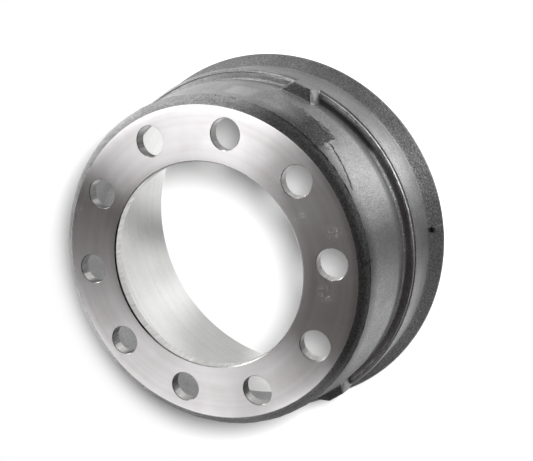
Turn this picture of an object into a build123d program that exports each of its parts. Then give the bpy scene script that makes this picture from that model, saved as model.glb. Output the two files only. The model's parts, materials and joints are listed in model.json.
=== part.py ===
from build123d import *
from math import radians, tan
import os

# Cast brake drum of a heavy axle: one grey-iron casting, machined where it mounts and brakes.
# It stands on its open mouth at Z = 0, its axis is Z, and its mounting flange is on top.
# Depths are measured down from the flange face and radii from the axis, in millimetres.

# mounting flange
stud_circle_radius = 142.875
stud_count = 10
stud_hole_radius = 16.25
stud_hole_chamfer = 0.5
pilot_land = 15.175
pilot_chamfer = 1.0
flange_thickness = 12.7
neck_land = 6.4

# neck, flaring from the flange down to a groove
neck_length = 74.0
neck_wall = 13.2
neck_flare = 11.2
groove_length = 21.5
groove_drop = 0.9
shoulder_width = 9.4
shoulder_depth = 8.2
shoulder_bulge = 1.5
parting_ridge = 0.8

# step from the groove out to the barrel, with a bead along its crest and the band behind it
step_height = 9.6
step_lean = 3.5
step_wall = 10.5
step_splay = 6.5
bead_width = 3.0
bead_height = 1.0
ledge_rise = 1.1
band_rise = 2.7
band_lead = 3.4
band_draft = 1.25
band_length = 43.92

# barrel, with the braking track inside it
band_wall = 11.925
barrel_wall = 10.3
track_run = 12.0
track_length = 112.0
track_lead = 2.2
mouth_chamfer = 2.0

# rim, the largest ring of the casting
rim_rise = 26.9
rim_face_run = 18.2
rim_width = 19.0
rim_draft = 16.0
rim_chamfer = 1.2
rim_rear_run = 7.0

# three lugs across the groove, which the lathe chuck grips
lug_count = 3
lug_first_angle = 60.0
lug_setback = 1.5
lug_lean = 8.0
lug_rise = 1.5
lug_tail = 1.0
lug_top_width = 20.8
lug_root_width = 48.4
lug_nose = 1.6

# two nubs that the mould leaves in one line along the drum
rim_nub_width = 6.5
rim_nub_height = 2.8
rim_nub_gap = 5.0
shoulder_nub_width = 4.0
shoulder_nub_height = 1.2
shoulder_nub_gap = 1.5
nub_root = 3.0

# splay in the casting's inner corners
corner_splay = 3.5

# radii that follow from these sizes
pilot_radius = stud_circle_radius - stud_hole_radius - pilot_land
neck_inner_radius = stud_circle_radius + stud_hole_radius + neck_land
neck_outer_radius = neck_inner_radius + neck_wall
flange_radius = neck_outer_radius - shoulder_width
neck_foot_radius = neck_outer_radius + neck_flare
neck_end_radius = neck_foot_radius - neck_wall
groove_radius = neck_foot_radius - groove_drop
bead_radius = groove_radius + step_height
ledge_radius = bead_radius + ledge_rise
band_radius = ledge_radius + band_rise
track_radius = band_radius - band_wall
band_end_radius = band_radius + band_length * tan(radians(band_draft))
barrel_radius = track_radius + barrel_wall
rim_radius = track_radius + rim_rise
rim_rear_radius = rim_radius - rim_width * tan(radians(rim_draft))
lug_radius = ledge_radius + lug_rise
lug_root_radius = neck_foot_radius - neck_wall / 2

# depths that follow from these sizes
step_foot_depth = neck_length + groove_length
step_top_depth = step_foot_depth + step_lean
band_depth = step_top_depth + bead_width + 1.2 * band_lead
band_end_depth = band_depth + band_length
rim_edge_depth = band_end_depth + rim_face_run
rim_rear_depth = rim_edge_depth + rim_width
barrel_depth = rim_rear_depth + rim_rear_run
inner_step_depth = step_foot_depth + step_wall
track_depth = inner_step_depth + track_run
drum_height = track_depth + track_length
lug_depth = neck_length - lug_setback
lug_top_depth = lug_depth + lug_lean
lug_tail_depth = band_depth + lug_tail


def at(radius, depth):
    # point of the half section at a radius and a depth below the flange face
    return (radius, drum_height - depth)


def corner(sketch, radius, depth):
    # the corner of the half section nearest to that point
    place = Vector(*at(radius, depth))
    return sketch.vertices().sort_by(lambda vertex: (Vector(vertex) - place).length)[0]


def bar_outline(upper, lower, gap, height):
    # side view of a bar rooted in the slope between two points, a gap short of both of them
    along = (Vector(*lower) - Vector(*upper)).normalized()
    out = Vector(-along.Y, along.X)
    start = Vector(*upper) + along * gap
    end = Vector(*lower) - along * gap
    return [start - out * nub_root, end - out * nub_root, end + out * height, start + out * height]


# the three chuck lugs: a ring of their side view, kept only where their tapered plan stands
with BuildPart() as chuck_lugs:
    with BuildSketch(Plane.XZ):
        Polygon(
            at(lug_root_radius, lug_depth),
            at(neck_foot_radius, lug_depth),
            at(lug_radius - lug_nose, lug_top_depth - lug_nose),
            at(lug_radius, lug_top_depth),
            at(band_radius + lug_tail * tan(radians(band_draft)), lug_tail_depth),
            at(neck_foot_radius, lug_tail_depth),
            at(lug_root_radius, step_foot_depth),
            align=None,
        )
    revolve(axis=Axis.Z)
    with BuildSketch(Plane.XY):
        with PolarLocations(0, lug_count, start_angle=lug_first_angle):
            Polygon(
                (lug_root_radius, -lug_root_width / 2),
                (lug_radius + band_rise, -lug_top_width / 2),
                (lug_radius + band_rise, lug_top_width / 2),
                (lug_root_radius, lug_root_width / 2),
                align=None,
            )
    extrude(amount=drum_height, mode=Mode.INTERSECT)


with BuildPart() as brake_drum:
    # half section of the casting, turned once about the axis
    with BuildSketch(Plane.XZ) as section:
        with BuildLine():
            Polyline(
                at(neck_inner_radius, flange_thickness),
                at(pilot_radius + pilot_chamfer, flange_thickness),
                at(pilot_radius, flange_thickness - pilot_chamfer),
                at(pilot_radius, pilot_chamfer),
                at(pilot_radius + pilot_chamfer, 0),
                at(flange_radius, 0),
            )
            SagittaArc(at(flange_radius, 0), at(neck_outer_radius, shoulder_depth), shoulder_bulge)
            Polyline(
                at(neck_outer_radius, shoulder_depth),
                at(neck_outer_radius + parting_ridge, shoulder_depth + parting_ridge / 2),
                at(neck_outer_radius, shoulder_depth + 2 * parting_ridge),
                at(neck_foot_radius, neck_length),
                at(groove_radius, step_foot_depth),
                at(bead_radius - bead_height, step_top_depth),
                at(bead_radius, step_top_depth - bead_height),
                at(ledge_radius, step_top_depth),
                at(ledge_radius, step_top_depth + bead_width),
                at(band_radius - band_rise / 2, band_depth - band_lead),
                at(band_radius, band_depth),
                at(band_end_radius, band_end_depth),
                at(rim_radius, rim_edge_depth),
                at(rim_rear_radius, rim_rear_depth),
                at(barrel_radius, barrel_depth),
                at(barrel_radius, drum_height),
                at(track_radius + mouth_chamfer, drum_height),
                at(track_radius, drum_height - mouth_chamfer),
                at(track_radius, track_depth + track_lead),
                at(track_radius - track_lead, track_depth),
                at(neck_end_radius, inner_step_depth),
                at(neck_end_radius, neck_length),
                at(neck_inner_radius, flange_thickness),
            )
        make_face()
        chamfer(corner(section, band_end_radius, band_end_depth), corner_splay)
        chamfer(corner(section, groove_radius, step_foot_depth), step_splay)
        chamfer(corner(section, neck_inner_radius, flange_thickness), corner_splay)
        chamfer(corner(section, neck_end_radius, inner_step_depth), corner_splay)
        chamfer(corner(section, rim_radius, rim_edge_depth), rim_chamfer)
        chamfer(corner(section, rim_rear_radius, rim_rear_depth), rim_chamfer)
    revolve(axis=Axis.Z)

    # stud holes, with their upper edges broken
    with BuildSketch(Plane.XY.offset(drum_height)):
        with PolarLocations(stud_circle_radius, stud_count):
            Circle(stud_hole_radius)
    extrude(amount=-flange_thickness, mode=Mode.SUBTRACT)
    stud_edges = brake_drum.faces().sort_by(Axis.Z)[-1].inner_wires().edges().filter_by(
        lambda edge: abs(edge.radius - stud_hole_radius) < stud_hole_chamfer
    )
    chamfer(stud_edges, stud_hole_chamfer)

    add(chuck_lugs.part)

    # nub across the shoulder and nub up the rim's face, in line with the first stud hole
    with BuildSketch(Plane.XZ):
        shoulder_top = at(flange_radius, 0)
        shoulder_foot = at(neck_outer_radius, shoulder_depth)
        nub_height = shoulder_bulge + shoulder_nub_height
        Polygon(*bar_outline(shoulder_top, shoulder_foot, shoulder_nub_gap, nub_height), align=None)
        with Locations((0, drum_height)):
            Rectangle(2 * rim_radius, drum_height, align=(Align.CENTER, Align.MAX), mode=Mode.INTERSECT)
    extrude(amount=shoulder_nub_width / 2, both=True)
    with BuildSketch(Plane.XZ):
        rim_top = at(band_end_radius, band_end_depth)
        rim_foot = at(rim_radius, rim_edge_depth)
        Polygon(*bar_outline(rim_top, rim_foot, rim_nub_gap, rim_nub_height), align=None)
    extrude(amount=rim_nub_width / 2, both=True)

brake_drum.part.label = "brake_drum"

os.makedirs("parts", exist_ok=True)
export_step(brake_drum.part, "parts/brake_drum.step")
print("height", round(drum_height, 2), "rim diameter", round(2 * rim_radius, 2))
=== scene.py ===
import json
from math import acos, atan2, ceil, cos, degrees, hypot, pi, radians, sin, tan

import bmesh
import bpy
from mathutils import Matrix, Vector, noise


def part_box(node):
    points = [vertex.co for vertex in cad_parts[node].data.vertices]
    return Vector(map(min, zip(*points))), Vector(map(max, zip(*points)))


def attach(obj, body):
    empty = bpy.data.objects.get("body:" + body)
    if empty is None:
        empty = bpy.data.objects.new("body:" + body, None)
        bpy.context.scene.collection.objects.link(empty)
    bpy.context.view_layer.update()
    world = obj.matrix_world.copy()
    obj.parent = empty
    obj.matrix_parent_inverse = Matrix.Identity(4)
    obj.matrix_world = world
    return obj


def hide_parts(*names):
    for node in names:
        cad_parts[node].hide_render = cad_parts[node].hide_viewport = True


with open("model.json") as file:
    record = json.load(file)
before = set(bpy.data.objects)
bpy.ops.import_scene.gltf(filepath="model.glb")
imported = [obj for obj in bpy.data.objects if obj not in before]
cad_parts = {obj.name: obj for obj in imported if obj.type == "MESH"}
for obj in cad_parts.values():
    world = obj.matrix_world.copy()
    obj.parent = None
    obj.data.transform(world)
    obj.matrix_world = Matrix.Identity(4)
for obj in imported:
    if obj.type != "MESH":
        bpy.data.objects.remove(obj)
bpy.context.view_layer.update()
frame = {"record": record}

mm = 0.001
mounts = {mount["name"]: mount for mount in frame["record"]["mounts"]}
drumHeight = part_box("brake_drum")[1].z / mm
pilotRadius = mounts["pilot_bore"]["dims"]["r_mm"]
studCircle = mounts["stud_holes"]["dims"]["pcd_mm"] / 2
studRadius = mounts["stud_holes"]["dims"]["hole_r_mm"]
studCount = mounts["stud_holes"]["dims"]["count"]
trackRadius = mounts["brake_track"]["dims"]["r_mm"]
webThickness = (mounts["wheel_face"]["pos_m"][2] - mounts["hub_face"]["pos_m"][2]) / mm
print("frame loaded, drum height", round(drumHeight, 2), "mm")

castSlot, faceSlot, trackSlot, drillSlot = range(4)  # material slots of the casting


# the camera, in the drum's own frame and in metres
cameraValues = {
    "place": (0.41580, 0.17771, 0.94514),
    "aim": (0.02520, 0.01466, 0.12000),
    "roll": 117.229,  # degrees clockwise about the line of sight, from upright
    "lens": 54.06,  # millimetres, on a sensor of the next width
    "sensorWidth": 36.0,
    "farthest": 20.0,
}


def makeCamera(v):
    data = bpy.data.cameras.new("camera")
    data.lens = v["lens"]
    data.sensor_width = v["sensorWidth"]
    data.clip_end = v["farthest"]
    camera = bpy.data.objects.new("camera", data)
    place, aim = Vector(v["place"]), Vector(v["aim"])
    upright = (aim - place).to_track_quat("-Z", "Y").to_matrix()
    turned = upright @ Matrix.Rotation(-radians(v["roll"]), 3, "Z")
    camera.matrix_world = Matrix.Translation(place) @ turned.to_4x4()
    bpy.context.scene.collection.objects.link(camera)
    bpy.context.scene.camera = camera


# the half section: radii from the axis and depths below the flange face, in millimetres
sectionValues = {
    "pilotChamfer": 1.0,
    "flangeRadius": 169.325,
    "neckOuter": 178.725,
    "shoulderDepth": 8.2,
    "shoulderBulge": 1.5,
    "shoulderSteps": 6,
    "partingRidge": 0.8,
    "neckFoot": 189.925,
    "neckLength": 74.0,
    "grooveRadius": 189.025,
    "stepFootDepth": 95.5,
    "stepTop": 99.0,
    "beadWidth": 3.0,
    "beadHeight": 1.0,
    "beadRadius": 198.625,
    "ledgeRadius": 199.725,
    "bandStart": 202.425,
    "bandDepth": 106.08,
    "bandLead": 3.4,
    "bandEnd": 203.383,
    "bandEndDepth": 150.0,
    "rimRadius": 217.25,
    "rimEdgeDepth": 168.2,
    "rimRearRadius": 211.952,
    "rimRearDepth": 187.2,
    "barrelRadius": 200.8,
    "barrelDepth": 194.2,
    "mouthChamfer": 2.0,
    "trackLead": 2.2,
    "trackDepth": 118.0,
    "neckEnd": 179.6,
    "innerStepDepth": 98.0,
    "neckInner": 165.525,
    # how far the corners are rounded
    "roundings": {
        "boreEdge": 0.2,
        "flangeEdge": 0.35,
        "ridgeFoot": 0.6,
        "neckFoot": 9.0,
        "stepFoot": 10.0,
        "bead": 0.8,
        "ledge": 0.9,
        "crease": 0.4,
        "bandLip": 1.2,
        "bandStart": 6.0,
        "bandEnd": 9.0,
        "rim": 2.0,
        "barrel": 5.0,
        "mouth": 0.5,
        "trackEdge": 0.3,
        "trackTop": 0.4,
        "innerStep": 5.0,
        "neckEnd": 9.0,
        "web": 6.0,
    },
    "machinedRounding": 0.6,  # a rounding beside cast skin is cast as well when it is larger than this
    "sideShare": 0.48,  # most of a side that one rounding may take
    "stepAngle": 0.36,  # radians from one point of a rounding to the next, at most
    "segments": 400,
    "castStep": 3.0,  # longest side of a cell along the section, cast and turned
    "turnedStep": 9.0,
    "sharpAngle": 38,  # degrees from which an edge is shaded as sharp
}


def arcPoints(centre, start, end, sweep, steps):
    # points round a centre from the start to the end, with both
    spoke = start - centre
    sign = 1 if spoke.cross(end - centre) > 0 else -1
    return [tuple(centre + Matrix.Rotation(sign * sweep * k / steps, 2) @ spoke) for k in range(steps + 1)]


def cornerArc(before, corner, after, radius, v):
    # points of the arc that rounds one corner of the section
    a, c, b = Vector(before), Vector(corner), Vector(after)
    toA, toB = (a - c).normalized(), (b - c).normalized()
    half = toA.angle(toB) / 2
    reach = min(radius / tan(half), v["sideShare"] * (a - c).length, v["sideShare"] * (b - c).length)
    centre = c + (toA + toB).normalized() * (reach * tan(half) / sin(half))
    sweep = pi - 2 * half
    return arcPoints(centre, c + toA * reach, c + toB * reach, sweep, max(1, ceil(sweep / v["stepAngle"])))


def sagittaArc(start, end, bulge, steps):
    # points between two ends on an arc that bulges outward
    a, b = Vector(start), Vector(end)
    chord = (b - a).length
    radius = (chord * chord / 4 + bulge * bulge) / (2 * bulge)
    out = Vector((b.y - a.y, a.x - b.x)).normalized()
    if out.x < 0:
        out = -out
    centre = (a + b) / 2 - out * (radius - bulge)
    return arcPoints(centre, a, b, 2 * acos((radius - bulge) / radius), steps)[1:-1]


def sectionOutline(v):
    # corners as (radius, depth, rounding, slot of the stretch that follows)
    soft = v["roundings"]
    bandLip = (v["ledgeRadius"] + v["bandStart"]) / 2
    shoulder = sagittaArc(
        (v["flangeRadius"], 0), (v["neckOuter"], v["shoulderDepth"]), v["shoulderBulge"], v["shoulderSteps"]
    )
    return [
        (pilotRadius + v["pilotChamfer"], 0, soft["boreEdge"], faceSlot),
        (v["flangeRadius"], 0, soft["flangeEdge"], castSlot),
        *((radius, depth, 0, castSlot) for radius, depth in shoulder),
        (v["neckOuter"], v["shoulderDepth"], 0, castSlot),
        (v["neckOuter"] + v["partingRidge"], v["shoulderDepth"] + v["partingRidge"] / 2, 0, castSlot),
        (v["neckOuter"], v["shoulderDepth"] + 2 * v["partingRidge"], soft["ridgeFoot"], castSlot),
        (v["neckFoot"], v["neckLength"], soft["neckFoot"], castSlot),
        (v["grooveRadius"], v["stepFootDepth"], soft["stepFoot"], castSlot),
        (v["beadRadius"] - v["beadHeight"], v["stepTop"], soft["bead"], castSlot),
        (v["beadRadius"], v["stepTop"] - v["beadHeight"], soft["bead"], castSlot),
        (v["ledgeRadius"], v["stepTop"], soft["ledge"], castSlot),
        (v["ledgeRadius"], v["stepTop"] + v["beadWidth"], soft["crease"], castSlot),
        (bandLip, v["bandDepth"] - v["bandLead"], soft["bandLip"], castSlot),
        (v["bandStart"], v["bandDepth"], soft["bandStart"], castSlot),
        (v["bandEnd"], v["bandEndDepth"], soft["bandEnd"], castSlot),
        (v["rimRadius"], v["rimEdgeDepth"], soft["rim"], castSlot),
        (v["rimRearRadius"], v["rimRearDepth"], soft["rim"], castSlot),
        (v["barrelRadius"], v["barrelDepth"], soft["barrel"], castSlot),
        (v["barrelRadius"], drumHeight, soft["mouth"], trackSlot),
        (trackRadius + v["mouthChamfer"], drumHeight, soft["trackEdge"], trackSlot),
        (trackRadius, drumHeight - v["mouthChamfer"], soft["trackEdge"], trackSlot),
        (trackRadius, v["trackDepth"] + v["trackLead"], soft["trackEdge"], trackSlot),
        (trackRadius - v["trackLead"], v["trackDepth"], soft["trackTop"], trackSlot),
        (v["neckEnd"], v["innerStepDepth"], soft["innerStep"], castSlot),
        (v["neckEnd"], v["neckLength"], soft["neckEnd"], castSlot),
        (v["neckInner"], webThickness, soft["web"], faceSlot),
        (pilotRadius + v["pilotChamfer"], webThickness, soft["boreEdge"], drillSlot),
        (pilotRadius, webThickness - v["pilotChamfer"], soft["boreEdge"], drillSlot),
        (pilotRadius, v["pilotChamfer"], soft["boreEdge"], drillSlot),
    ]


def roundedSection(v):
    # the closed outline, rounded and divided: a list of (radius, depth) and a slot for each stretch
    corners = sectionOutline(v)
    places, slots = [], []
    for index, (radius, depth, rounding, slot) in enumerate(corners):
        before, after = corners[index - 1], corners[(index + 1) % len(corners)]
        arc = [(radius, depth)]
        if rounding:
            arc = cornerArc(before[:2], (radius, depth), after[:2], rounding, v)
        besideCast = castSlot in (slot, before[3])
        arcSlot = castSlot if besideCast and rounding > v["machinedRounding"] else slot
        places += arc
        slots += [arcSlot] * (len(arc) - 1) + [slot]
    dividedPlaces, dividedSlots = [], []
    for index, (place, slot) in enumerate(zip(places, slots)):
        after = places[(index + 1) % len(places)]
        rough = slot == castSlot and place[0] > v["neckOuter"] - 1 and place[1] < v["rimRearDepth"]
        longest = v["castStep"] if rough else v["turnedStep"]
        parts = max(1, ceil(hypot(after[0] - place[0], after[1] - place[1]) / longest))
        for k in range(parts):
            dividedPlaces.append([a + (b - a) * k / parts for a, b in zip(place, after)])
            dividedSlots.append(slot)
    return dividedPlaces, dividedSlots


def revolved(name, places, slots, segments):
    # a ring-shaped mesh with one quad for each stretch of the section and each step of turn
    count = len(places)
    turns = [(cos(2 * pi * k / segments), sin(2 * pi * k / segments)) for k in range(segments)]
    verts = [(r * c * mm, r * s * mm, (drumHeight - d) * mm) for c, s in turns for r, d in places]
    faces = []
    for k in range(segments):
        base, following = k * count, (k + 1) % segments * count
        for j in range(count):
            step = (j + 1) % count
            faces.append((base + j, base + step, following + step, following + j))
    mesh = bpy.data.meshes.new(name)
    mesh.from_pydata(verts, [], faces)
    mesh.polygons.foreach_set("material_index", slots * segments)
    mesh.update()
    return mesh


def addObject(name, mesh, materials):
    for material in materials:
        mesh.materials.append(material)
    piece = bpy.data.objects.new(name, mesh)
    bpy.context.scene.collection.objects.link(piece)
    return piece


def meshFrom(work, name):
    mesh = bpy.data.meshes.new(name)
    work.to_mesh(mesh)
    work.free()
    return mesh


def recalculated(mesh):
    work = bmesh.new()
    work.from_mesh(mesh)
    bmesh.ops.recalc_face_normals(work, faces=work.faces)
    work.to_mesh(mesh)
    work.free()


def softenEdges(work, edges, size):
    bmesh.ops.bevel(work, geom=edges, offset=size * mm, segments=3, profile=0.6, affect="EDGES")


def combine(piece, tool, operation):
    # one exact boolean, applied at once
    modifier = piece.modifiers.new("combine", "BOOLEAN")
    modifier.object = tool
    modifier.operation = operation
    modifier.solver = "EXACT"
    depsgraph = bpy.context.evaluated_depsgraph_get()
    result = bpy.data.meshes.new_from_object(piece.evaluated_get(depsgraph))
    piece.modifiers.clear()
    spent = [piece.data, tool.data]
    piece.data = result
    bpy.data.objects.remove(tool)
    for mesh in spent:
        bpy.data.meshes.remove(mesh)


# the plugs that cut the stud holes, in millimetres
studValues = {
    "chamfer": 0.6,
    "overshoot": 1.0,
    "sides": 96,
}


def studCutters(v):
    # ten plugs with a flare at each end
    edge, past = v["chamfer"], v["overshoot"]
    stations = [
        (studRadius + edge + past, -past),
        (studRadius, edge),
        (studRadius, webThickness - edge),
        (studRadius + edge + past, webThickness + past),
    ]
    work = bmesh.new()
    for number in range(studCount):
        angle = 2 * pi * number / studCount
        cx, cy = studCircle * cos(angle), studCircle * sin(angle)
        rings = []
        for radius, depth in stations:
            ring = []
            for k in range(v["sides"]):
                turn = 2 * pi * k / v["sides"]
                place = (cx + radius * cos(turn), cy + radius * sin(turn), drumHeight - depth)
                ring.append(work.verts.new(Vector(place) * mm))
            rings.append(ring)
        for upper, lower in zip(rings, rings[1:]):
            for k in range(v["sides"]):
                step = (k + 1) % v["sides"]
                work.faces.new((upper[k], upper[step], lower[step], lower[k]))
        work.faces.new(rings[0])
        work.faces.new(rings[-1])
    for face in work.faces:
        face.material_index = drillSlot
    bmesh.ops.recalc_face_normals(work, faces=work.faces)
    return meshFrom(work, "studCutters")


# the three lugs that the lathe chuck grips, drafted on every side, in millimetres
lugValues = {
    "angles": (60, 180, 300),
    "topRadius": 201.225,
    "frontDepth": 72.5,
    "lean": 8.0,
    "nose": 1.6,
    "tailDepth": 108.6,
    "tailRadius": 201.93,
    "topWidth": 22.8,
    "rootWidth": 48.8,
    "rootDrop": 6.6,
    "taperTop": 2.7,  # the plan has the top's width this far above the top
    "bevel": 0.9,
    "cheekWidth": 3.2,  # the slanted cheek at each front corner, nothing at the foot and widest at the top
    "cheekDepth": 10.0,
    "cheekDrop": 0.7,  # how far under the root a cheek starts
    "mergeGap": 0.02,
}


def prism(sideView, halfWidth):
    # a solid with a side view in the plane of the axis, as wide at each radius as the function says
    work = bmesh.new()
    left = [work.verts.new((r, -halfWidth(r), drumHeight - d)) for r, d in sideView]
    right = [work.verts.new((r, halfWidth(r), drumHeight - d)) for r, d in sideView]
    for k in range(len(sideView)):
        step = (k + 1) % len(sideView)
        work.faces.new((left[k], left[step], right[step], right[k]))
    work.faces.new(left[::-1])
    work.faces.new(right)
    bmesh.ops.recalc_face_normals(work, faces=work.faces)
    bmesh.ops.transform(work, matrix=Matrix.Scale(mm, 4), verts=work.verts)
    return work


def cutCheek(work, v, root, slope, side):
    # a plane through a point buried under the front corner, which leans away from it towards the top
    topDepth = v["frontDepth"] + v["lean"]
    footWidth = v["rootWidth"] / 2 + v["cheekDrop"] * slope
    topWidth = v["rootWidth"] / 2 - (v["topRadius"] - root) * slope
    foot = Vector((root - v["cheekDrop"], side * footWidth, drumHeight - v["frontDepth"])) * mm
    front = Vector((v["topRadius"], side * (topWidth - v["cheekWidth"]), drumHeight - topDepth)) * mm
    back = Vector((v["topRadius"], side * topWidth, drumHeight - topDepth - v["cheekDepth"])) * mm
    normal = (front - foot).cross(back - foot).normalized()
    if normal.y * side < 0:
        normal = -normal
    everything = work.verts[:] + work.edges[:] + work.faces[:]
    cut = bmesh.ops.bisect_plane(work, geom=everything, plane_co=foot, plane_no=normal, clear_outer=True)
    openEdges = [item for item in cut["geom_cut"] if isinstance(item, bmesh.types.BMEdge)]
    bmesh.ops.edgeloop_fill(work, edges=openEdges)
    bmesh.ops.recalc_face_normals(work, faces=work.faces)


def lugMesh(v, s, angle):
    root = s["neckFoot"] - v["rootDrop"]
    topDepth = v["frontDepth"] + v["lean"]
    sideView = [
        (root, v["frontDepth"]),
        (s["neckFoot"], v["frontDepth"]),
        (v["topRadius"] - v["nose"], topDepth - v["nose"]),
        (v["topRadius"], topDepth),
        (v["tailRadius"], v["tailDepth"]),
        (s["neckFoot"], v["tailDepth"]),
        (root, s["stepFootDepth"]),
    ]
    slope = (v["rootWidth"] - v["topWidth"]) / 2 / (v["topRadius"] + v["taperTop"] - root)
    work = prism(sideView, lambda r: v["rootWidth"] / 2 - (r - root) * slope)
    for side in (-1, 1):
        cutCheek(work, v, root, slope, side)
    bmesh.ops.transform(work, matrix=Matrix.Rotation(radians(angle), 4, "Z"), verts=work.verts)
    buried = (root + 1) * mm
    edges = [edge for edge in work.edges if all(hypot(*vert.co.xy) > buried for vert in edge.verts)]
    softenEdges(work, edges, v["bevel"])

    # the hull of its points makes one clean closed shell
    hull = bmesh.new()
    for vert in work.verts:
        hull.verts.new(vert.co)
    work.free()
    bmesh.ops.remove_doubles(hull, verts=hull.verts, dist=v["mergeGap"] * mm)
    shell = bmesh.ops.convex_hull(hull, input=hull.verts)
    inner = shell["geom_interior"] + shell["geom_unused"]
    spare = {item for item in inner if isinstance(item, bmesh.types.BMVert)}
    bmesh.ops.delete(hull, geom=list(spare), context="VERTS")
    bmesh.ops.subdivide_edges(hull, edges=hull.edges, cuts=3, use_grid_fill=True)
    bmesh.ops.triangulate(hull, faces=hull.faces)
    bmesh.ops.recalc_face_normals(hull, faces=hull.faces)
    return meshFrom(hull, "lug")


# two nubs in line with the first stud hole, on the rim's face and on the shoulder, in millimetres
nubValues = {
    "rim": {"gap": 5.0, "height": 2.8, "width": 6.5},
    "shoulder": {"gap": 1.5, "height": 2.7, "width": 4.0},
    "root": 3.0,
    "bevel": 0.9,
    "leastDepth": 0.02,  # below the flange face
}


def nubMesh(name, v, upper, lower):
    # a bar on the slope between two points of the section
    a, b = Vector(upper), Vector(lower)
    along = (b - a).normalized()
    out = Vector((along.y, -along.x))
    start, end = a + along * v[name]["gap"], b - along * v[name]["gap"]
    foot, top = out * v["root"], out * v[name]["height"]
    sideView = [(r, max(d, v["leastDepth"])) for r, d in (start - foot, end - foot, end + top, start + top)]
    work = prism(sideView, lambda r: v[name]["width"] / 2)
    softenEdges(work, work.edges[:], v["bevel"])
    return meshFrom(work, name + "Nub")


def makeDrum(s, materials):
    places, slots = roundedSection(s)
    mesh = revolved("brakeDrum", places, slots, s["segments"])
    recalculated(mesh)
    drum = addObject("brakeDrum", mesh, materials)
    print("section revolved,", len(places), "points,", len(mesh.polygons), "cells")
    combine(drum, addObject("studCutters", studCutters(studValues), materials), "DIFFERENCE")
    for angle in lugValues["angles"]:
        combine(drum, addObject("lug", lugMesh(lugValues, s, angle), materials), "UNION")
    slopes = {
        "rim": ((s["bandEnd"], s["bandEndDepth"]), (s["rimRadius"], s["rimEdgeDepth"])),
        "shoulder": ((s["flangeRadius"], 0), (s["neckOuter"], s["shoulderDepth"])),
    }
    for name, (upper, lower) in slopes.items():
        combine(drum, addObject(name + "Nub", nubMesh(name, nubValues, upper, lower), materials), "UNION")
    triangles = sum(len(polygon.vertices) - 2 for polygon in drum.data.polygons)
    print("holes, lugs and nubs made,", triangles, "triangles")
    return drum


def finishShading(mesh, sharpAngle):
    mesh.polygons.foreach_set("use_smooth", [True] * len(mesh.polygons))
    mesh.set_sharp_from_angle(angle=radians(sharpAngle))
    mesh.update()


# burnt-on sand on the neck: degrees round the drum and depths in millimetres
patchValues = {
    "angles": (39.5, 60),
    "depths": (9, 50),
}

# unevenness of the cast skin, in millimetres: layers are (height, size), windows (from, to, fade)
reliefValues = {
    "seed": 17.3,
    "swell": (0.16, 14.0),
    "grain": (0.07, 4.5),
    "rimGrain": (0.16, 2.7),
    "rimInset": (1.0, 1.5, 2.0),  # from the band's end, to the rim's edge, fade
    "ridge": (0.35, 6.0),
    "ridgeDepths": (7.9, 9.4, 0.6),
    "ridgeReach": (0.2, 2.0, 0.4),  # beyond the neck
    "flash": (1.1, 2.6),
    "flashLift": 0.1,
    "flashAngles": (31, 64, 3),
    "beadDepths": (-1.6, 1.0, 1.0),  # from the top of the step
    "beadRadii": (197.2, 200.2, 0.8),
    "beadWander": 0.55,
    "beadWaves": 0.7,  # waves of the bead for a degree
    "beadLumps": (0.275, 3.0),
    "patch": (0.42, 2.4),
    "patchDrop": 0.25,
    "patchRagged": (5.0, 6.0),
    "patchFades": (2.5, 4),  # in degrees and in depth
    "rimFade": (1.2, 1.0),  # short of the rim's edge, where the skin stays inside the CAD box
    "faceFade": (0.9, 1.2),
}


def window(value, low, high, fade):
    # 1 between two bounds, fading to 0 outside them
    return max(0.0, min(1.0, (value - low) / fade + 0.5)) * max(0.0, min(1.0, (high - value) / fade + 0.5))


def waves(place, layer, lift=0.0):
    height, size = layer
    return height * (noise.noise(place / size) + lift)


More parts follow.
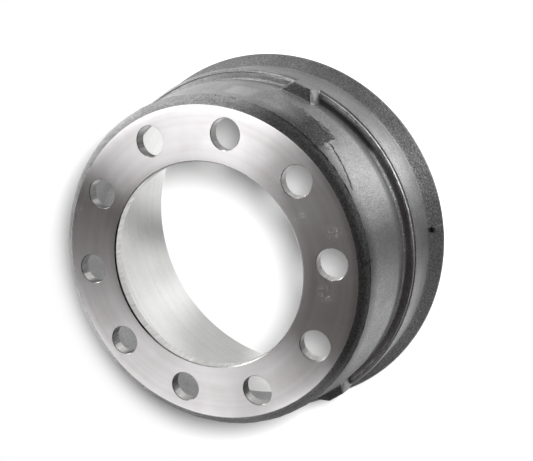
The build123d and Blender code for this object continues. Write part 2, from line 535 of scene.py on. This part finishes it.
def castRelief(mesh, v, s):
    machined = set()
    for polygon in mesh.polygons:
        if polygon.material_index != castSlot:
            machined.update(polygon.vertices)
    shift = Vector((v["seed"], -v["seed"], 2 * v["seed"]))
    inset, edge, fade = v["rimInset"]
    rimRadii = (s["bandEnd"] + inset, s["rimRadius"] - edge, fade)
    inner, outer, fade = v["ridgeReach"]
    ridgeRadii = (s["neckOuter"] + inner, s["neckOuter"] + outer, fade)
    upper, lower, fade = v["beadDepths"]
    beadDepths = (s["stepTop"] + upper, s["stepTop"] + lower, fade)
    edge, fade = v["rimFade"]
    skinRadii = (0, s["rimRadius"] - edge, fade)
    edge, fade = v["faceFade"]
    skinDepths = (edge, s["rimRearDepth"], fade)
    angleFade, depthFade = v["patchFades"]
    normals = [normal.vector.copy() for normal in mesh.vertex_normals]
    for vert, normal in zip(mesh.vertices, normals):
        radius, depth = hypot(vert.co.x, vert.co.y) / mm, drumHeight - vert.co.z / mm
        if vert.index in machined or radius < s["flangeRadius"] - 1 or depth > s["rimRearDepth"]:
            continue
        angle = degrees(atan2(vert.co.y, vert.co.x)) % 360
        place = vert.co / mm + shift
        offset = waves(place, v["swell"]) + waves(place, v["grain"])
        offset += window(radius, *rimRadii) * waves(place, v["rimGrain"])
        nearRidge = window(depth, *v["ridgeDepths"]) * window(radius, *ridgeRadii)
        if nearRidge:
            flashy = nearRidge * window(angle, *v["flashAngles"])
            offset += nearRidge * waves(place, v["ridge"])
            offset += flashy * max(0.0, waves(place, v["flash"], v["flashLift"]))
        nearBead = window(depth, *beadDepths) * window(radius, *v["beadRadii"])
        if nearBead:
            along = Vector((angle * v["beadWaves"], v["seed"], 0.0))
            offset += nearBead * v["beadWander"] * noise.noise(along)
            offset += nearBead * waves(place, v["beadLumps"])
        ragged = depth + waves(place, v["patchRagged"])
        inPatch = window(angle, *patchValues["angles"], angleFade)
        inPatch *= window(ragged, *patchValues["depths"], depthFade)
        if inPatch and s["neckOuter"] - 1 < radius < s["neckFoot"]:
            offset += inPatch * waves(place, v["patch"], -v["patchDrop"])
        offset *= window(radius, *skinRadii) * window(depth, *skinDepths)
        vert.co += normal * offset * mm
    mesh.update()


def addNode(tree, kind, inputs=None, **settings):
    # one shader node, with its settings and its inputs set or linked
    node = tree.nodes.new("ShaderNode" + kind)
    for name, value in settings.items():
        setattr(node, name, value)
    for key, value in (inputs or {}).items():
        if isinstance(value, bpy.types.NodeSocket):
            tree.links.new(value, node.inputs[key])
        else:
            node.inputs[key].default_value = value
    return node


def calculate(tree, operation, *values):
    return addNode(tree, "Math", dict(enumerate(values)), operation=operation).outputs[0]


def product(tree, first, *others):
    for value in others:
        first = calculate(tree, "MULTIPLY", first, value)
    return first


def highest(tree, first, *others):
    for value in others:
        first = calculate(tree, "MAXIMUM", first, value)
    return first


def remap(tree, value, low, high, toLow=0.0, toHigh=1.0, smooth=False):
    inputs = {"Value": value, "From Min": low, "From Max": high, "To Min": toLow, "To Max": toHigh}
    kind = "SMOOTHSTEP" if smooth else "LINEAR"
    return addNode(tree, "MapRange", inputs, interpolation_type=kind).outputs[0]


def remapMm(tree, value, low, high, toLow=0.0, toHigh=1.0):
    return remap(tree, value, low * mm, high * mm, toLow, toHigh)


def between(tree, value, low, high, fade):
    # 1 between two bounds, fading to 0 outside them
    rise = remap(tree, value, low - fade / 2, low + fade / 2, smooth=True)
    fall = remap(tree, value, high - fade / 2, high + fade / 2, 1.0, 0.0, smooth=True)
    return product(tree, rise, fall)


def betweenMm(tree, value, low, high, fade):
    return between(tree, value, low * mm, high * mm, fade * mm)


def inSector(tree, angle, angles, fade):
    # 1 between two angles in degrees, with a fade in radians
    low, high = (radians(a) for a in angles)
    return between(tree, angle, low, high, fade)


def stretch(tree, vector, factors):
    return addNode(tree, "VectorMath", {0: vector, 1: factors}, operation="MULTIPLY").outputs[0]


def noiseAt(tree, vector, scale, detail, roughness):
    inputs = {"Vector": vector, "Scale": scale, "Detail": detail, "Roughness": roughness}
    return addNode(tree, "TexNoise", inputs).outputs[0]


def blendColours(tree, share, first, second):
    node = addNode(tree, "Mix", {0: share}, data_type="RGBA")
    for socket, value in ((node.inputs[6], first), (node.inputs[7], second)):
        if isinstance(value, bpy.types.NodeSocket):
            tree.links.new(value, socket)
        else:
            socket.default_value = (*value, 1)
    return node.outputs[2]


def ringPlaces(tree):
    # sockets for the place, the radius and the angle in radians round the drum, and the depth, in metres
    place = addNode(tree, "TexCoord").outputs["Object"]
    parts = addNode(tree, "SeparateXYZ", {0: place})
    flat = addNode(tree, "CombineXYZ", {0: parts.outputs[0], 1: parts.outputs[1]})
    radius = addNode(tree, "VectorMath", {0: flat.outputs[0]}, operation="LENGTH").outputs["Value"]
    angle = calculate(tree, "ARCTAN2", parts.outputs[1], parts.outputs[0])
    depth = calculate(tree, "SUBTRACT", drumHeight * mm, parts.outputs[2])
    return place, radius, angle, depth


def sectorValue(tree, angle, stops, brightest=1.0):
    # a value that changes smoothly round the axis, from stops of (degrees, value)
    turn = calculate(tree, "ADD", calculate(tree, "DIVIDE", angle, 2 * pi), 1.0)
    turn = calculate(tree, "MODULO", turn, 1.0)
    ramp = addNode(tree, "ValToRGB", {0: turn})
    ramp.color_ramp.interpolation = "EASE"
    marks = ramp.color_ramp.elements
    while len(marks) > 1:
        marks.remove(marks[-1])
    marks[0].position = stops[0][0] / 360
    for degree, _ in stops[1:]:
        marks.new(degree / 360)
    for mark, (_, value) in zip(marks, stops):
        mark.color = (value / brightest, value / brightest, value / brightest, 1)
    level = addNode(tree, "SeparateColor", {0: ramp.outputs["Color"]}).outputs[0]
    return product(tree, level, brightest)


def newMaterial(name):
    material = bpy.data.materials.new(name)
    material.use_nodes = True
    return material, material.node_tree, material.node_tree.nodes["Principled BSDF"]


def finishMaterial(tree, shader, colour, rough, layers):
    # links the colour and the roughness, and stacks bumps of (height, (depth in millimetres, strength))
    tree.links.new(colour, shader.inputs["Base Color"])
    tree.links.new(rough, shader.inputs["Roughness"])
    normal = None
    for height, (distance, strength) in layers:
        inputs = {"Height": height, "Distance": distance * mm, "Strength": strength}
        if normal:
            inputs["Normal"] = normal
        normal = addNode(tree, "Bump", inputs).outputs[0]
    tree.links.new(normal, shader.inputs["Normal"])


# shot-blasted cast skin, with the marks the casting has kept, painted shade and a painted highlight: angles
# in degrees round the drum, radii, depths and widths in millimetres, fades of angles in radians, noises as
# (scale per metre, detail, roughness), levels as (low, high, result at low, result at high), bumps as
# (depth, strength)
castValues = {
    "dark": (0.22, 0.22, 0.225),
    "light": (0.48, 0.48, 0.48),
    "grain": (625.0, 3.0, 0.65),
    "grainTone": (0.34, 0.66, 0.0, 0.75),
    "grainBump": (0.42, 0.8),
    "pits": (250.0, 3.0, 0.6),
    "pitBump": (0.55, 0.6),
    "cloud": (28.0, 3.0, 0.55),
    "cloudTone": (0.4, 0.65, 0.0, 0.3),
    "metallic": 0.8,
    "roughness": (0.3, 0.7, 0.48, 0.34),  # by the levels of the grain
    "coarseRoughness": 0.12,
    "lumps": (330.0, 3.0, 0.65),
    "lumpBump": (1.2, 0.8),
    # painted shade, on the rim's face, the shoulder and the neck below it, the lugs' fronts, the nubs and
    # under the bead
    "soot": (0.05, 0.05, 0.05),
    "mottle": (420.0, 2.0, 0.6),
    "mottleLevels": (0.4, 0.62),
    "rimShade": (0.6, 0.3),  # from the dark spots of the mottle to the light ones
    "rimInset": (0.4, 0.8, 1.2),  # from the band's end, to the rim's edge, fade
    "shoulderEnd": (7.6, 8.6),
    "shoulderShade": (0.92, 0.6),
    "sootAngles": (-40, 64),
    "sootFade": 0.35,
    "sootLevels": (9, 27, 0.78, 0.0),
    "lugShade": (1.0, 0.6),
    "lugRise": (0.7, 1.5),  # above the foot of the neck
    "lugLevels": (80.8, 81.8, 0.75, 0.0),
    "nubShade": 0.9,
    "nubSector": (-0.013, 0.013, 0.004),  # radians: from, to, fade
    "nubEnd": (210.5, 212.0),
    "tickSector": (-0.010, 0.013, 0.004),
    "tickDepths": (5.0, 14.5, 1.0),
    "tickStart": (174.0, 174.5),
    "footShade": 0.85,
    "footAngles": (31, 55),
    "footFade": 0.07,
    "footDepths": (-2.2, -1.2, 1.2),  # from the foot of the step, to its top, fade
    # a painted highlight on the crest of the bead
    "rubbed": (0.82, 0.82, 0.82),
    "rubbedAngles": (-4, 74),
    "rubbedFade": 0.25,
    "crestDepths": (-1.4, 1.6, 0.8),  # from the top of the step
    "crestRadii": (-1.6, 0.9, 0.6),  # from the bead, to the ledge, fade
    "wear": (240.0, 2.0, 0.6),
    "wearLevels": (0.35, 0.55, 0.35, 1.0),
    # burnt-on sand, ragged and thinning out along the drum
    "burnt": (0.035, 0.034, 0.034),
    "wander": (170.0, 4.0, 0.7),
    "wanderLevels": (0.3, 0.7, -1.0, 1.0),
    "patchWander": (7.0, 0.05),  # in depth and in angle
    "patchFades": (6.0, 0.05),
    "thinning": (0.16, 1.0, 0.12),  # its start in radians past the first edge, shares there and at the end
    "sand": (520.0, 3.0, 0.7),
    "sandLevels": (0.35, 0.55, 0.62, 1.0),
    "outside": (-1.8, -1.0),  # from the neck's outer radius, so that its inside stays plain
    # a wavy cold shut that runs from the patch's corner
    "crack": (0.012, 0.012, 0.012),
    "crackAngles": (23, 39),
    "crackDepths": (17.4, 32.8),
    "crackWidth": 2.2,
    "crackFade": 0.01,
    "crackBump": (0.6, 0.8),
    "sway": (260.0, 3.0, 0.7),
    "swayLevels": (0.25, 0.75, -0.0016, 0.0016),  # in metres
    # a smear that the grinder left
    "smeared": (0.55, 0.55, 0.55),
    "smearShare": 0.5,
    "smearAngles": (69.5, 78.5),
    "smearDepths": (24, 53, 5),
    "smearFade": 0.04,
    "smearWander": 3.0,
    "smearGloss": 0.12,
}


# share of painted shade: rim's face, shoulder and neck below it in one sector, lugs' fronts, nubs, tick,
# step's foot
def paintedShadeShare(tree, radius, angle, depth, mottle, onRim, onShoulder, v, s):
    coarse = highest(tree, onRim, onShoulder)
    inShade = inSector(tree, angle, v["sootAngles"], v["sootFade"])
    onNubs = product(
        tree, between(tree, angle, *v["nubSector"]), coarse, remapMm(tree, radius, *v["nubEnd"], 1.0, 0.0)
    )
    onTick = product(
        tree, between(tree, angle, *v["tickSector"]), betweenMm(tree, depth, *v["tickDepths"]),
        remapMm(tree, radius, *v["tickStart"]),
    )
    onLugFronts = product(
        tree, remapMm(tree, radius, *(s["neckFoot"] + rise for rise in v["lugRise"])),
        remapMm(tree, depth, *v["lugLevels"]), remap(tree, mottle, 0.0, 1.0, *v["lugShade"]),
    )
    footStart, footEnd, footFade = v["footDepths"]
    inFoot = product(
        tree, inSector(tree, angle, v["footAngles"], v["footFade"]),
        betweenMm(tree, depth, s["stepFootDepth"] + footStart, s["stepTop"] + footEnd, footFade),
    )
    return highest(
        tree, product(tree, onRim, remap(tree, mottle, 0.0, 1.0, *v["rimShade"])),
        product(tree, onShoulder, inShade, remap(tree, mottle, 0.0, 1.0, *v["shoulderShade"])),
        product(tree, inShade, remapMm(tree, depth, *v["sootLevels"])), onLugFronts,
        product(tree, highest(tree, onNubs, onTick), v["nubShade"]), product(tree, inFoot, v["footShade"]),
    )


def crestHighlightShare(tree, place, radius, angle, depth, v, s):
    (shallow, deep, depthFade), (inner, outer, radiusFade) = v["crestDepths"], v["crestRadii"]
    return product(
        tree, betweenMm(tree, depth, s["stepTop"] + shallow, s["stepTop"] + deep, depthFade),
        betweenMm(tree, radius, s["beadRadius"] + inner, s["ledgeRadius"] + outer, radiusFade),
        remap(tree, noiseAt(tree, place, *v["wear"]), *v["wearLevels"]),
        inSector(tree, angle, v["rubbedAngles"], v["rubbedFade"]),
    )


def castMaterial(v, s):
    material, tree, shader = newMaterial("castIron")
    place, radius, angle, depth = ringPlaces(tree)
    grain = noiseAt(tree, place, *v["grain"])
    cloud = remap(tree, noiseAt(tree, place, *v["cloud"]), *v["cloudTone"])
    tone = calculate(tree, "ADD", remap(tree, grain, *v["grainTone"]), cloud)
    colour = blendColours(tree, tone, v["dark"], v["light"])

    # the rim's face and the shoulder are coarser than the drafted sides, and painted shade makes them
    # darker
    inset, edge, fade = v["rimInset"]
    onRim = product(
        tree, betweenMm(tree, radius, s["bandEnd"] + inset, s["rimRadius"] - edge, fade),
        remapMm(tree, depth, s["rimEdgeDepth"], s["rimEdgeDepth"] + 1, 1.0, 0.0),
    )
    onShoulder = remapMm(tree, depth, *v["shoulderEnd"], 1.0, 0.0)
    mottle = remap(tree, noiseAt(tree, place, *v["mottle"]), *v["mottleLevels"])
    shade = paintedShadeShare(tree, radius, angle, depth, mottle, onRim, onShoulder, v, s)
    colour = blendColours(tree, shade, colour, v["soot"])
    # a painted highlight on the bead's crest, in one sector
    colour = blendColours(tree, crestHighlightShare(tree, place, radius, angle, depth, v, s), colour, v["rubbed"])

    # the patch of burnt-on sand
    wander = remap(tree, noiseAt(tree, place, *v["wander"]), *v["wanderLevels"])
    raggedDepth, raggedAngle = (
        calculate(tree, "ADD", value, product(tree, wander, amount))
        for value, amount in ((depth, v["patchWander"][0] * mm), (angle, v["patchWander"][1]))
    )
    outside = remapMm(tree, radius, *(s["neckOuter"] + reach for reach in v["outside"]))
    inPatch = product(
        tree, inSector(tree, raggedAngle, patchValues["angles"], v["patchFades"][1]),
        betweenMm(tree, raggedDepth, *patchValues["depths"], v["patchFades"][0]), outside,
    )
    first, last = (radians(a) for a in patchValues["angles"])
    thinningStart, *shares = v["thinning"]
    thinning = remap(tree, angle, first + thinningStart, last, *shares)
    sandy = remap(tree, noiseAt(tree, place, *v["sand"]), *v["sandLevels"])
    colour = blendColours(tree, product(tree, inPatch, thinning, sandy), colour, v["burnt"])

    # the cold shut
    first, last = (radians(a) for a in v["crackAngles"])
    line = remap(tree, angle, first, last, *(deep * mm for deep in v["crackDepths"]))
    sway = remap(tree, noiseAt(tree, place, *v["sway"]), *v["swayLevels"])
    offLine = calculate(tree, "SUBTRACT", depth, calculate(tree, "ADD", line, sway))
    offLine = calculate(tree, "ABSOLUTE", offLine)
    crack = product(
        tree, remap(tree, offLine, 0.0, v["crackWidth"] * mm, 1.0, 0.0, smooth=True),
        between(tree, angle, first, last, v["crackFade"]), outside,
    )
    colour = blendColours(tree, crack, colour, v["crack"])

    # the smear
    smearDepth = calculate(tree, "ADD", depth, product(tree, wander, v["smearWander"] * mm))
    smear = product(
        tree, inSector(tree, angle, v["smearAngles"], v["smearFade"]),
        betweenMm(tree, smearDepth, *v["smearDepths"]), outside,
    )
    colour = blendColours(tree, product(tree, smear, v["smearShare"]), colour, v["smeared"])

    coarse = highest(tree, onRim, onShoulder)
    rough = remap(tree, grain, *v["roughness"])
    rough = calculate(tree, "ADD", rough, product(tree, coarse, v["coarseRoughness"]))
    rough = calculate(tree, "SUBTRACT", rough, product(tree, smear, v["smearGloss"]))
    lumps = product(tree, noiseAt(tree, place, *v["lumps"]), highest(tree, coarse, inPatch))
    shader.inputs["Metallic"].default_value = v["metallic"]
    finishMaterial(tree, shader, colour, rough, [
        (noiseAt(tree, place, *v["pits"]), v["pitBump"]),
        (grain, v["grainBump"]),
        (lumps, v["lumpBump"]),
        (product(tree, crack, -1.0), v["crackBump"]),
    ])
    return material


# turned surfaces: the flange's face and the braking track, with rings and widths in millimetres
turnedValues = {
    "both": {
        "rings": (1.0, 2.0, 0.6),  # noises as for the cast skin, these two in rings instead of metres
        "bands": (1.0, 2.0, 0.5),
        "bandStretch": (0.06, 0.2, 0),
        "drift": 1.2,  # rings that the pattern moves by in a radian
        "ringLevels": (0.3, 0.7),
        "cloud": (22.0, 3.0, 0.55),
        "cloudLevels": (0.4, 0.7, 0.0, 0.6),
        "bandLevels": (0.35, 0.7, 0.0, 0.4),
        "speck": (1.0, 1.0, 1.0),
        "speckScale": 640.0,
        "speckLevels": (0.26, 0.42, 0.8, 0.0),
        "speckPick": 0.5,
        "speckRoughness": 0.4,
        "stray": (30.0, 2.0, 0.5),
        "strayLevels": (0.62, 0.72, 0.0, 0.5),
        "clusterCore": 0.3,
    },
    "face": {
        "bright": (0.86, 0.85, 0.855),
        "dull": (0.71, 0.685, 0.69),
        "roughness": 0.315,
        "streaks": 0.035,  # how far the roughness goes up and down from ring to ring
        "anisotropic": 0.88,
        "ringSize": 0.4,
        "ringBump": (0.006, 0.5),
        # places of the clusters of painted glints: degrees, radius and size
        "specks": [
            (133.5, 134, 11), (134, 126, 9), (134, 140, 10), (156, 164, 7), (43, 129, 13), (43, 120, 10),
            (36, 122, 10), (23, 126, 11), (12, 152, 12), (348, 138, 13), (318, 158, 14), (290, 150, 11),
        ],
    },
    "track": {
        "bright": (0.84, 0.84, 0.83),
        "dull": (0.74, 0.74, 0.73),
        "roughness": 0.27,
        "streaks": 0.015,
        "anisotropic": 0.75,
        "ringSize": 0.5,
        "ringBump": (0.004, 0.5),
        "specks": [],
    },
}


def paintedGlints(tree, place, v):
    # painted glints: small bright dots, thick in the clusters and thin in stray clouds
    cells = addNode(tree, "TexVoronoi", {"Vector": place, "Scale": v["speckScale"], "Randomness": 1.0})
    dots = remap(tree, cells.outputs["Distance"], *v["speckLevels"])
    pick = addNode(tree, "SeparateColor", {0: cells.outputs["Color"]}).outputs[0]
    dots = product(tree, dots, calculate(tree, "GREATER_THAN", pick, v["speckPick"]))
    clusters = remap(tree, noiseAt(tree, place, *v["stray"]), *v["strayLevels"])
    for degree, reach, size in v["specks"]:
        centre = Vector((reach * cos(radians(degree)), reach * sin(radians(degree)), drumHeight)) * mm
        gap = addNode(tree, "VectorMath", {0: place, 1: centre}, operation="DISTANCE").outputs["Value"]
        clusters = highest(tree, clusters, remapMm(tree, gap, size * v["clusterCore"], size, 1.0, 0.0))
    return product(tree, dots, clusters)


def turnedMaterial(name, v):
    material, tree, shader = newMaterial(name)
    place, radius, angle, depth = ringPlaces(tree)
    lathe = addNode(tree, "CombineXYZ", {
        0: calculate(tree, "DIVIDE", calculate(tree, "ADD", radius, depth), v["ringSize"] * mm),
        1: product(tree, angle, v["drift"]),
    }).outputs[0]
    rings = noiseAt(tree, lathe, *v["rings"])
    bands = noiseAt(tree, stretch(tree, lathe, v["bandStretch"]), *v["bands"])
    cloud = remap(tree, noiseAt(tree, place, *v["cloud"]), *v["cloudLevels"])
    dull = calculate(tree, "ADD", cloud, remap(tree, bands, *v["bandLevels"]))
    colour = blendColours(tree, dull, v["bright"], v["dull"])
    calm, wild = v["roughness"] - v["streaks"], v["roughness"] + v["streaks"]
    rough = remap(tree, rings, *v["ringLevels"], calm, wild)
    shader.inputs["Metallic"].default_value = 1.0
    # painted glints, white and not metallic
    if v["specks"]:
        dots = paintedGlints(tree, place, v)
        colour = blendColours(tree, dots, colour, v["speck"])
        rough = calculate(tree, "ADD", rough, product(tree, dots, v["speckRoughness"]))
        tree.links.new(calculate(tree, "SUBTRACT", 1.0, dots), shader.inputs["Metallic"])
    shader.inputs["Anisotropic"].default_value = v["anisotropic"]
    shader.inputs["Anisotropic Rotation"].default_value = 0.25  # a quarter turn, across the rings
    tangent = addNode(tree, "Tangent", direction_type="RADIAL", axis="Z")
    tree.links.new(tangent.outputs[0], shader.inputs["Tangent"])
    finishMaterial(tree, shader, colour, rough, [(rings, v["ringBump"])])
    return material


# walls of the stud holes and the pilot bore, marked by the tool; noises, levels and bumps as above
drillValues = {
    "bright": (0.76, 0.755, 0.75),
    "dark": (0.60, 0.59, 0.58),
    "streaks": (1.0, 3.0, 0.6),
    "streakStretch": (260.0, 260.0, 50.0),
    "streakTone": (0.42, 0.72),
    "streakRoughness": (0.3, 0.7, 0.24, 0.42),
    "streakBump": (0.01, 0.2),
    "tooling": (1.0, 1.0, 0.5),
    "toolStep": 0.5,
    "toolBump": (0.02, 0.5),
    # painted dark reflection on a stud hole's wall, by the direction it faces, in degrees
    "holeDark": (0.02, 0.02, 0.02),
    "holeDarkness": [
        (0, 0.88), (18, 0.8), (30, 0.15), (48, 0.0), (70, 0.35), (95, 0.5), (120, 0.3), (180, 0.0),
        (300, 0.2), (330, 0.85), (360, 0.88),
    ],
    "holeStreaks": (0.35, 0.65, 1.0, 0.7),
    "holeStart": (120, 121),  # radii between the pilot bore and the stud holes
    # which of the holes get the painted dark reflection, by degrees round the drum
    "darkHoles": [(0, 0.3), (60, 0.35), (90, 0.65), (120, 1.0), (290, 1.0), (320, 0.6), (360, 0.3)],
    # the bore's upper edge, painted black as a dark reflection between two angles round the drum
    "edgeDark": (0.03, 0.03, 0.03),
    "edgeDepths": (1.9, 2.2),
    "edgeWidths": (2.0, 2.1),
    "edgeAngles": (150, 226),
    "edgeFade": 0.2,
}


def drilledMaterial(v):
    material, tree, shader = newMaterial("drilledWall")
    place, radius, angle, depth = ringPlaces(tree)
    streaks = noiseAt(tree, stretch(tree, place, v["streakStretch"]), *v["streaks"])
    steps = calculate(tree, "DIVIDE", depth, v["toolStep"] * mm)
    steps = addNode(tree, "CombineXYZ", {2: steps}).outputs[0]
    colour = blendColours(tree, remap(tree, streaks, *v["streakTone"]), v["bright"], v["dark"])
    facing = addNode(tree, "SeparateXYZ", {0: addNode(tree, "TexCoord").outputs["Normal"]})
    facing = calculate(tree, "ARCTAN2", facing.outputs[1], facing.outputs[0])
    # painted dark reflection on the stud holes' walls
    dim = product(
        tree, sectorValue(tree, facing, v["holeDarkness"]), remapMm(tree, radius, *v["holeStart"]),
        sectorValue(tree, angle, v["darkHoles"]), remap(tree, streaks, *v["holeStreaks"]),
    )
    colour = blendColours(tree, dim, colour, v["holeDark"])
    turn = calculate(tree, "MODULO", calculate(tree, "ADD", angle, 2 * pi), 2 * pi)
    # painted dark reflection on the bore's upper edge
    onEdge = product(
        tree, remapMm(tree, radius, *(pilotRadius + width for width in v["edgeWidths"]), 1.0, 0.0),
        remapMm(tree, depth, *v["edgeDepths"], 1.0, 0.0),
        inSector(tree, turn, v["edgeAngles"], v["edgeFade"]),
    )
    colour = blendColours(tree, onEdge, colour, v["edgeDark"])
    shader.inputs["Metallic"].default_value = 1.0
    finishMaterial(tree, shader, colour, remap(tree, streaks, *v["streakRoughness"]), [
        (streaks, v["streakBump"]),
        (noiseAt(tree, steps, *v["tooling"]), v["toolBump"]),
    ])
    return material


# a white floor, which the metal reflects and the drum shades, in metres; levels go by the radius
floorValues = {
    "size": 12.0,
    "paleness": (0.20, 0.24, 0.52, 0.90),  # of the lit share, darker under the drum as painted shade
    "glow": (0.35, 0.43, 0.16, 1.0),  # share of plain white that the camera sees, the rest being lit
    "insideRadius": 0.198,
    "insideFade": 0.004,
    # how bright the floor is to the metal, by degrees round the drum, outside it and inside it
    "outsideGlow": [
        (0, 0.16), (10, 0.75), (22, 1.95), (34, 1.6), (50, 0.70), (85, 0.66), (110, 1.1), (135, 1.3),
        (180, 0.7), (270, 0.5), (290, 0.42), (318, 0.95), (336, 0.80), (352, 0.10), (360, 0.16),
    ],
    "insideGlow": [
        (0, 0.7), (120, 0.9), (150, 1.2), (165, 0.88), (181, 0.42), (195, 0.88), (208, 1.15), (224, 0.66),
        (240, 0.62), (256, 1.1), (270, 0.95), (360, 0.7),
    ],
    "brightest": 2.0,
}


def floorMaterial(v):
    # lit and partly plain white to the camera, and white of a set strength to the metal's reflections
    material = bpy.data.materials.new("whiteFloor")
    material.use_nodes = True
    tree = material.node_tree
    tree.nodes.clear()
    path = addNode(tree, "LightPath").outputs
    radius, angle = ringPlaces(tree)[1:3]
    seen = product(tree, path["Is Camera Ray"], remap(tree, radius, *v["glow"], smooth=True))
    low, high = v["insideRadius"] - v["insideFade"], v["insideRadius"] + v["insideFade"]
    inside = remap(tree, radius, low, high, 1.0, 0.0)
    outsideGlow = sectorValue(tree, angle, v["outsideGlow"], v["brightest"])
    insideGlow = sectorValue(tree, angle, v["insideGlow"], v["brightest"])
    outer = product(tree, outsideGlow, calculate(tree, "SUBTRACT", 1.0, inside))
    gloss = calculate(tree, "MULTIPLY_ADD", insideGlow, inside, outer)
    share = calculate(tree, "ADD", path["Is Glossy Ray"], seen)
    strength = calculate(tree, "MULTIPLY_ADD", path["Is Glossy Ray"], gloss, path["Is Camera Ray"])
    # painted shade: the floor's colour is darker under the drum
    lit = addNode(tree, "BsdfDiffuse", {"Color": remap(tree, radius, *v["paleness"])})
    white = addNode(tree, "Emission", {"Strength": strength})
    surface = addNode(tree, "MixShader", {0: share, 1: lit.outputs[0], 2: white.outputs[0]})
    addNode(tree, "OutputMaterial", {"Surface": surface.outputs[0]})
    return material


def makeFloor(v):
    mesh = bpy.data.meshes.new("floor")
    half = v["size"] / 2
    corners = [(-half, -half, 0), (half, -half, 0), (half, half, 0), (-half, half, 0)]
    mesh.from_pydata(corners, [], [(0, 1, 2, 3)])
    floor = addObject("floor", mesh, [floorMaterial(v)])
    return floor


# a dim room that the camera sees as white
roomValues = {
    "colour": (1.0, 0.62, 0.60),
    "strength": 0.022,
}


def makeWorld(v):
    world = bpy.data.worlds.new("studio")
    world.use_nodes = True
    tree = world.node_tree
    tree.nodes.clear()
    seen = addNode(tree, "LightPath").outputs["Is Camera Ray"]
    dim = addNode(tree, "Background", {"Color": (*v["colour"], 1), "Strength": v["strength"]})
    white = addNode(tree, "Background", {"Color": (1, 1, 1, 1), "Strength": 1.0})
    surface = addNode(tree, "MixShader", {0: seen, 1: dim.outputs[0], 2: white.outputs[0]})
    addNode(tree, "OutputWorld", {"Surface": surface.outputs[0]})
    bpy.context.scene.world = world


# soft lamps for the drum, named by side: azimuth and elevation in degrees and power in watts,
# and one by the camera that lights only the floor; places and sizes in metres
lampValues = {
    "aim": (0, 0, 0.1),
    "reach": 2.0,
    "size": 0.7,
    "lowest": 0.15,
    "drumLamps": {
        "highBack": (144, 66, 4.1),
        "highTop": (108, 66, 1.0),
        "highRight": (72, 66, 0.95),
        "back": (140, 46, 4.4),
        "backLeft": (160, 46, 2.6),
        "leftBack": (200, 46, 0.75),
        "left": (220, 46, 1.6),
        "leftFront": (240, 46, 1.0),
        "front": (260, 46, 2.6),
        "lowBack": (150, 26, 2.8),
        "lowLeft": (210, 26, 1.6),
        "lowFront": (230, 26, 1.4),
        "groundRight": (20, 6, 5.0),
        "groundTop": (100, 6, 6.5),
        "groundBack": (140, 6, 9.5),
        "groundLeft": (200, 6, 7.5),
    },
    "floorLamp": ((0.4628, 0.2207, 0.9146), (0, 0, 0), 0.17, 30.0),  # place, aim, size, power
}


def makeLamp(name, place, aim, size, power, target):
    # a round soft lamp that lights only the target
    data = bpy.data.lights.new(name, "AREA")
    data.shape = "DISK"
    data.size = size
    data.energy = power
    lamp = bpy.data.objects.new(name, data)
    lamp.location = place
    lamp.rotation_euler = (Vector(aim) - Vector(place)).to_track_quat("-Z", "Y").to_euler()
    bpy.context.scene.collection.objects.link(lamp)
    receivers = bpy.data.collections.new(name + "Receivers")
    receivers.objects.link(target)
    lamp.light_linking.receiver_collection = receivers


def makeLamps(v, drum, floor):
    aim = Vector(v["aim"])
    for name, (azimuth, elevation, power) in v["drumLamps"].items():
        a, e = radians(azimuth), radians(elevation)
        place = aim + v["reach"] * Vector((cos(a) * cos(e), sin(a) * cos(e), sin(e)))
        place.z = max(place.z, v["lowest"])
        makeLamp(name, place, aim, v["size"], power, drum)
    place, aim, size, power = v["floorLamp"]
    makeLamp("floorLamp", place, aim, size, power, floor)


bpy.context.scene.view_settings.view_transform = "Standard"
makeCamera(cameraValues)
print("camera set")

materials = [
    castMaterial(castValues, sectionValues),
    turnedMaterial("turnedFace", {**turnedValues["both"], **turnedValues["face"]}),
    turnedMaterial("turnedTrack", {**turnedValues["both"], **turnedValues["track"]}),
    drilledMaterial(drillValues),
]
print("materials made")
drum = makeDrum(sectionValues, materials)
castRelief(drum.data, reliefValues, sectionValues)
print("cast skin roughened")
finishShading(drum.data, sectionValues["sharpAngle"])
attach(drum, "root")
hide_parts("brake_drum")

floor = makeFloor(floorValues)
makeWorld(roomValues)
makeLamps(lampValues, drum, floor)
print("stage and lamps set")
